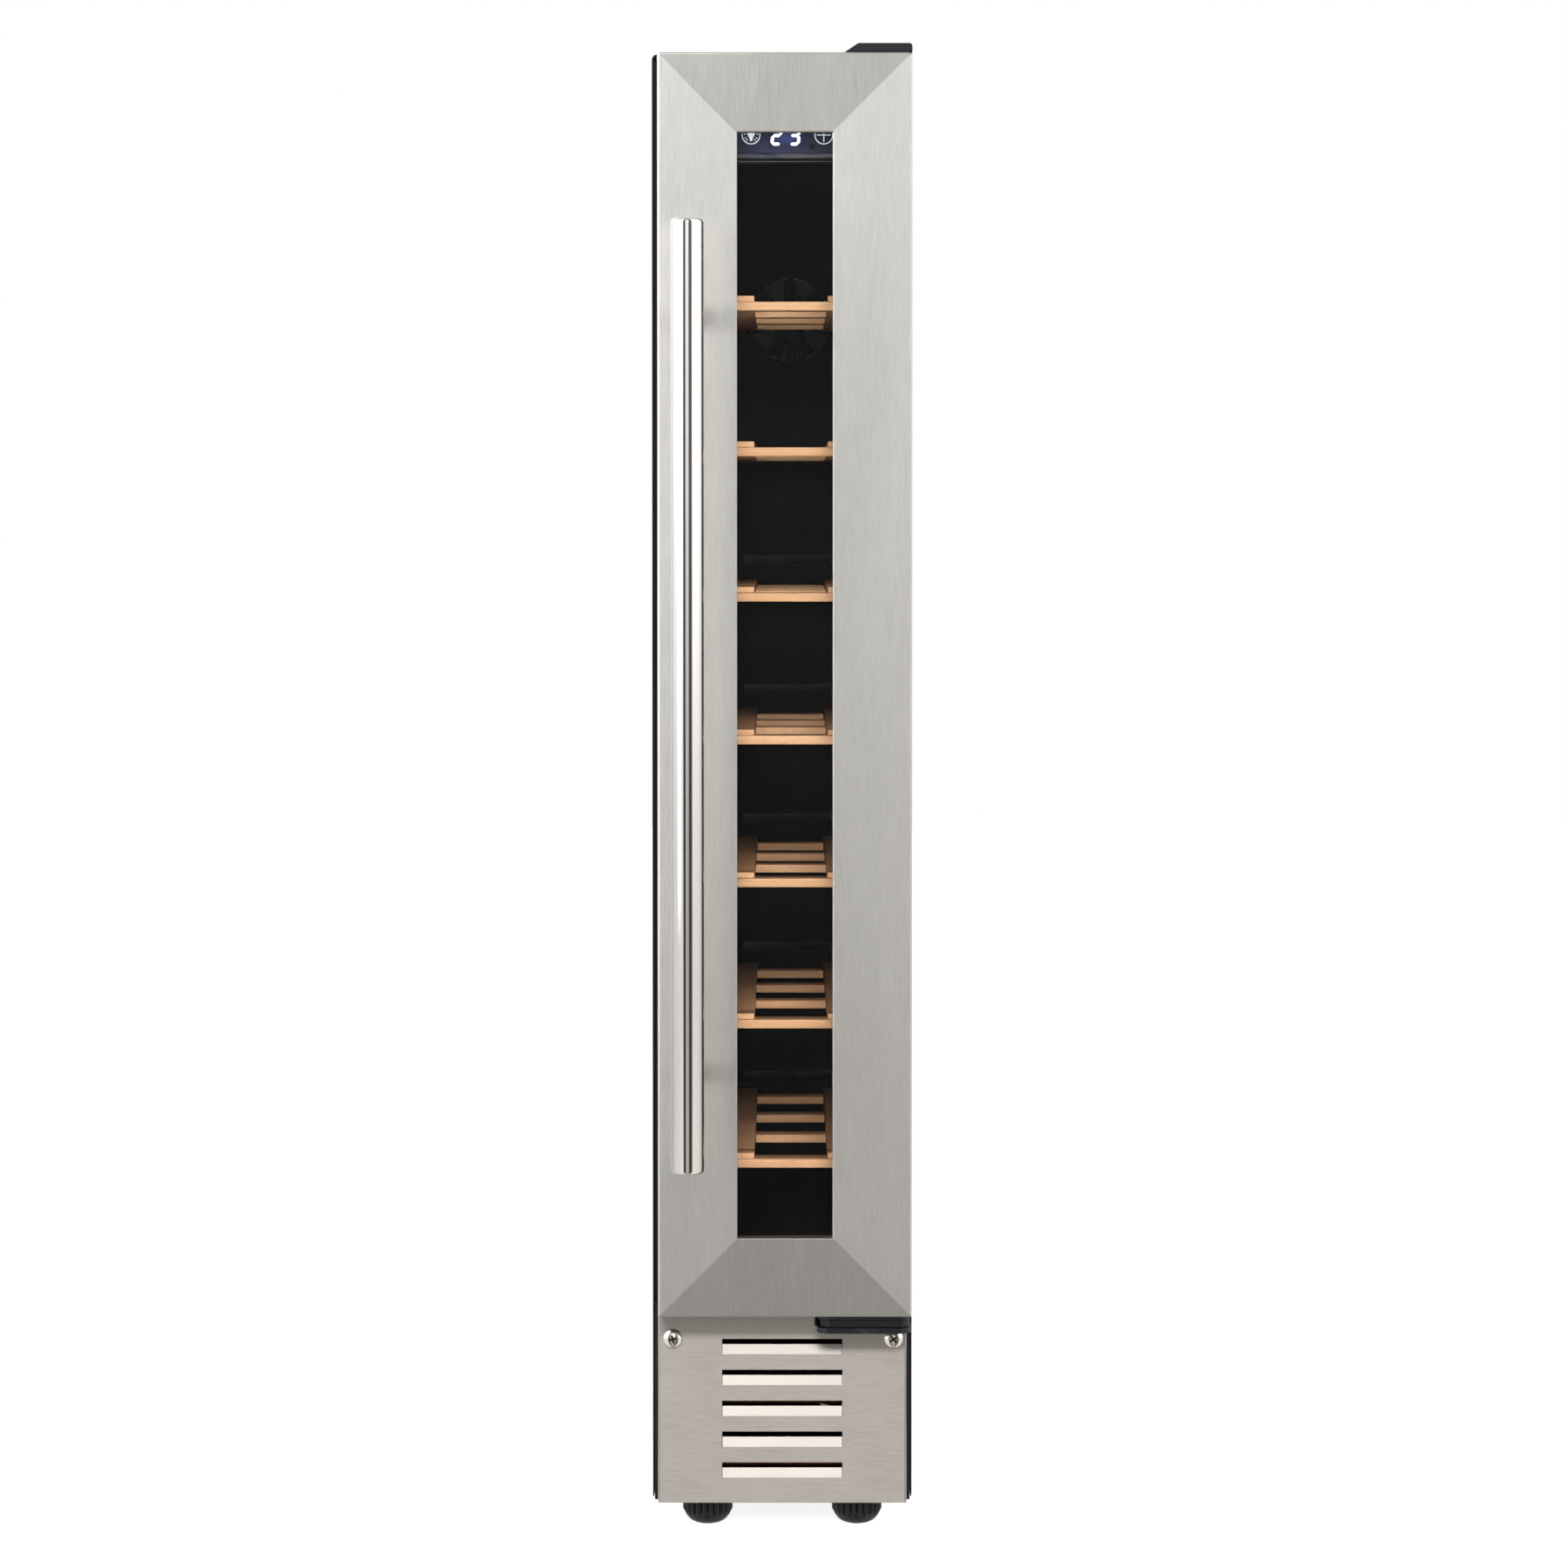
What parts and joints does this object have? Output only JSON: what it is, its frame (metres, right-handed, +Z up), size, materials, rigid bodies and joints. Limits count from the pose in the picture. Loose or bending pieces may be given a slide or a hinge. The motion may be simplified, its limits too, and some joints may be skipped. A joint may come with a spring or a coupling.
{
  "type": "wine cooler",
  "caption": "Slim under-counter wine cooler: black cabinet, brushed stainless glass door with bar handle, beech shelves, louvred kick plate, levelling feet.",
  "frame": {"origin": "middle of the footprint, on the plane that the feet stand on", "axes": "+Z up, the door and handle face -Y, the door hinge is at +X"},
  "size_m": [0.148, 0.5716, 0.8427],
  "materials": {
    "brushed_stainless": "brushed, fine straight grain",
    "black_powder_coat": "satin powder coat",
    "zinc_sheet": "zinc-plated, dull",
    "polished_screw": "polished",
    "black_abs": "fine moulded grain",
    "foam": "rigid polyurethane foam",
    "dark_acrylic": "gloss",
    "white_diffuser": "translucent",
    "tinted_glass": "clear, lightly tinted",
    "black_rubber": "matt",
    "beech": "oiled",
    "aluminium": "mill finish",
    "copper": "bare tube",
    "compressor_paint": "gloss black",
    "grey_abs": "moulded"
  },
  "bodies": {
    "cabinet": {"side_panel_left": "black_powder_coat", "side_panel_right": "black_powder_coat", "top_panel": "black_powder_coat", "back_panel": "zinc_sheet", "machine_deck": "zinc_sheet", "rear_grille": "zinc_sheet", "power_inlet": "black_abs", "base_frame": "black_powder_coat", "inner_liner": "black_abs", "foam_insulation": "foam", "control_housing": "black_abs", "control_lens": "dark_acrylic", "light_strip": "white_diffuser", "air_duct_cover": "black_abs", "circulation_fan_frame": "black_abs", "evaporator": "aluminium", "compressor": "compressor_paint", "drip_tray": "grey_abs", "condenser_coil": "copper", "condenser_fan_frame": "black_abs", "filter_dryer": "copper", "power_board_box": "black_abs", "kick_plate": "brushed_stainless", "kick_screw_left": "polished_screw", "kick_screw_right": "polished_screw", "bottom_hinge_bracket": "black_powder_coat", "hinge_washer": "black_abs", "top_hinge_plate": "black_powder_coat", "top_hinge_cover": "black_abs", "compressor_grommet_1": "black_rubber", "compressor_grommet_2": "black_rubber", "compressor_grommet_3": "black_rubber", "compressor_grommet_4": "black_rubber"},
    "door": {"door_stile_left": "brushed_stainless", "door_stile_right": "brushed_stainless", "door_rail_top": "brushed_stainless", "door_rail_bottom": "brushed_stainless", "door_inner_frame": "black_abs", "outer_glass": "tinted_glass", "glass_spacer": "aluminium", "inner_glass": "tinted_glass", "door_gasket": "black_rubber", "door_hinge_plate": "black_powder_coat", "hinge_bush": "grey_abs", "handle_bar": "brushed_stainless", "handle_post_lower": "brushed_stainless", "handle_post_upper": "brushed_stainless"},
    "circulation_fan": {"circulation_fan_rotor": "black_abs"},
    "condenser_fan": {"condenser_fan_rotor": "black_abs"},
    "foot_front_left": {"foot_front_left": "black_rubber"},
    "foot_front_right": {"foot_front_right": "black_rubber"},
    "foot_rear_left": {"foot_rear_left": "black_rubber"},
    "foot_rear_right": {"foot_rear_right": "black_rubber"},
    "shelf_1": {"shelf_1": "beech"},
    "shelf_2": {"shelf_2": "beech"},
    "shelf_3": {"shelf_3": "beech"},
    "shelf_4": {"shelf_4": "beech"},
    "shelf_5": {"shelf_5": "beech"},
    "shelf_6": {"shelf_6": "beech"},
    "shelf_7": {"shelf_7": "beech"}
  },
  "joints": [
    {"name": "door_hinge", "type": "hinge", "parent": "cabinet", "child": "door", "pos_m": [0.064, -0.21725, 0.48], "axis": [0, 0, 1], "range_deg": [0, 110]},
    {"name": "circulation_fan_spin", "type": "hinge", "parent": "cabinet", "child": "circulation_fan", "pos_m": [0.005, 0.20005, 0.7027], "axis": [0, 1, 0], "continuous": true},
    {"name": "condenser_fan_spin", "type": "hinge", "parent": "cabinet", "child": "condenser_fan", "pos_m": [0, -0.08925, 0.0647], "axis": [0, 1, 0], "continuous": true},
    {"name": "shelf_1_slide", "type": "slide", "parent": "cabinet", "child": "shelf_1", "axis": [0, -1, 0], "range_m": [0, 0.011]},
    {"name": "shelf_2_slide", "type": "slide", "parent": "cabinet", "child": "shelf_2", "axis": [0, -1, 0], "range_m": [0, 0.011]},
    {"name": "shelf_3_slide", "type": "slide", "parent": "cabinet", "child": "shelf_3", "axis": [0, -1, 0], "range_m": [0, 0.011]},
    {"name": "shelf_4_slide", "type": "slide", "parent": "cabinet", "child": "shelf_4", "axis": [0, -1, 0], "range_m": [0, 0.011]},
    {"name": "shelf_5_slide", "type": "slide", "parent": "cabinet", "child": "shelf_5", "axis": [0, -1, 0], "range_m": [0, 0.011]},
    {"name": "shelf_6_slide", "type": "slide", "parent": "cabinet", "child": "shelf_6", "axis": [0, -1, 0], "range_m": [0, 0.011]},
    {"name": "shelf_7_slide", "type": "slide", "parent": "cabinet", "child": "shelf_7", "axis": [0, -1, 0], "range_m": [0, 0.011]},
    {"name": "foot_front_left_level", "type": "slide", "parent": "cabinet", "child": "foot_front_left", "axis": [0, 0, -1], "range_m": [0, 0.01]},
    {"name": "foot_front_right_level", "type": "slide", "parent": "cabinet", "child": "foot_front_right", "axis": [0, 0, -1], "range_m": [0, 0.01]},
    {"name": "foot_rear_left_level", "type": "slide", "parent": "cabinet", "child": "foot_rear_left", "axis": [0, 0, -1], "range_m": [0, 0.01]},
    {"name": "foot_rear_right_level", "type": "slide", "parent": "cabinet", "child": "foot_rear_right", "axis": [0, 0, -1], "range_m": [0, 0.01]}
  ]
}
